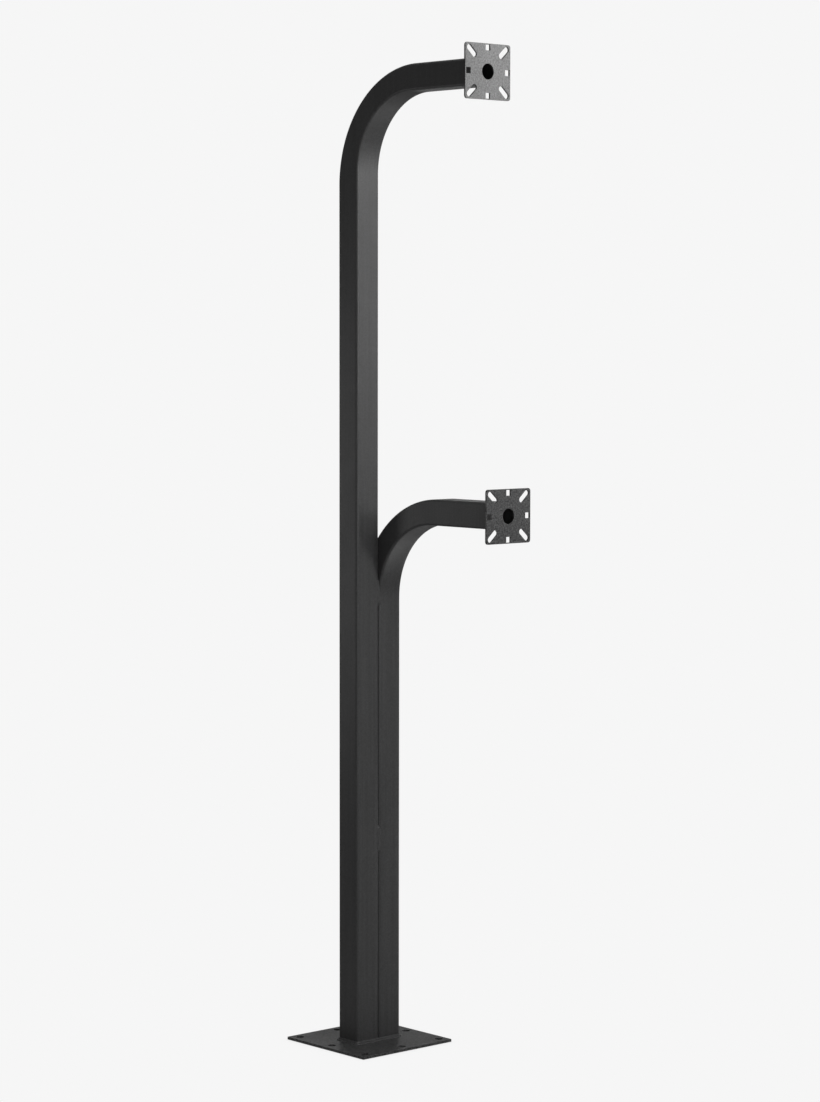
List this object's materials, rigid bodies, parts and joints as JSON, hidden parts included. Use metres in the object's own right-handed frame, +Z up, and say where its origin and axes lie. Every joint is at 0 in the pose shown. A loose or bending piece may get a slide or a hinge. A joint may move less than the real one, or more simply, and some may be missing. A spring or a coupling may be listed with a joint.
{
  "type": "dual-height gooseneck pedestal",
  "caption": "Floor-mounted steel pedestal of two joined square tubes, each bent forward to a slotted face plate for an access device, one high and one low.",
  "frame": {"origin": "centre of the underside of the base plate", "axes": "+Z up along the posts, -Y forward along the arms, the short post on the +X side"},
  "size_m": [0.209, 0.4347, 1.7465],
  "materials": {
    "post": "satin black powder coat",
    "plate": "satin black powder coat",
    "weld": "satin black powder coat over a weld bead"
  },
  "bodies": {
    "root": {"tall_post_riser": "post", "tall_post_bend": "post", "tall_post_arm": "post", "short_post_riser": "post", "short_post_bend": "post", "short_post_arm": "post", "base_plate": "plate", "upper_face_plate": "plate", "lower_face_plate": "plate", "foot_weld_front": "weld", "foot_weld_right": "weld", "foot_weld_back": "weld", "foot_weld_left": "weld", "upper_arm_weld_top": "weld", "upper_arm_weld_right": "weld", "upper_arm_weld_bottom": "weld", "upper_arm_weld_left": "weld", "lower_arm_weld_top": "weld", "lower_arm_weld_right": "weld", "lower_arm_weld_bottom": "weld", "lower_arm_weld_left": "weld", "seam_weld_front_lower": "weld", "seam_weld_front_upper": "weld", "seam_weld_back_lower": "weld", "seam_weld_back_upper": "weld"}
  },
  "joints": []
}
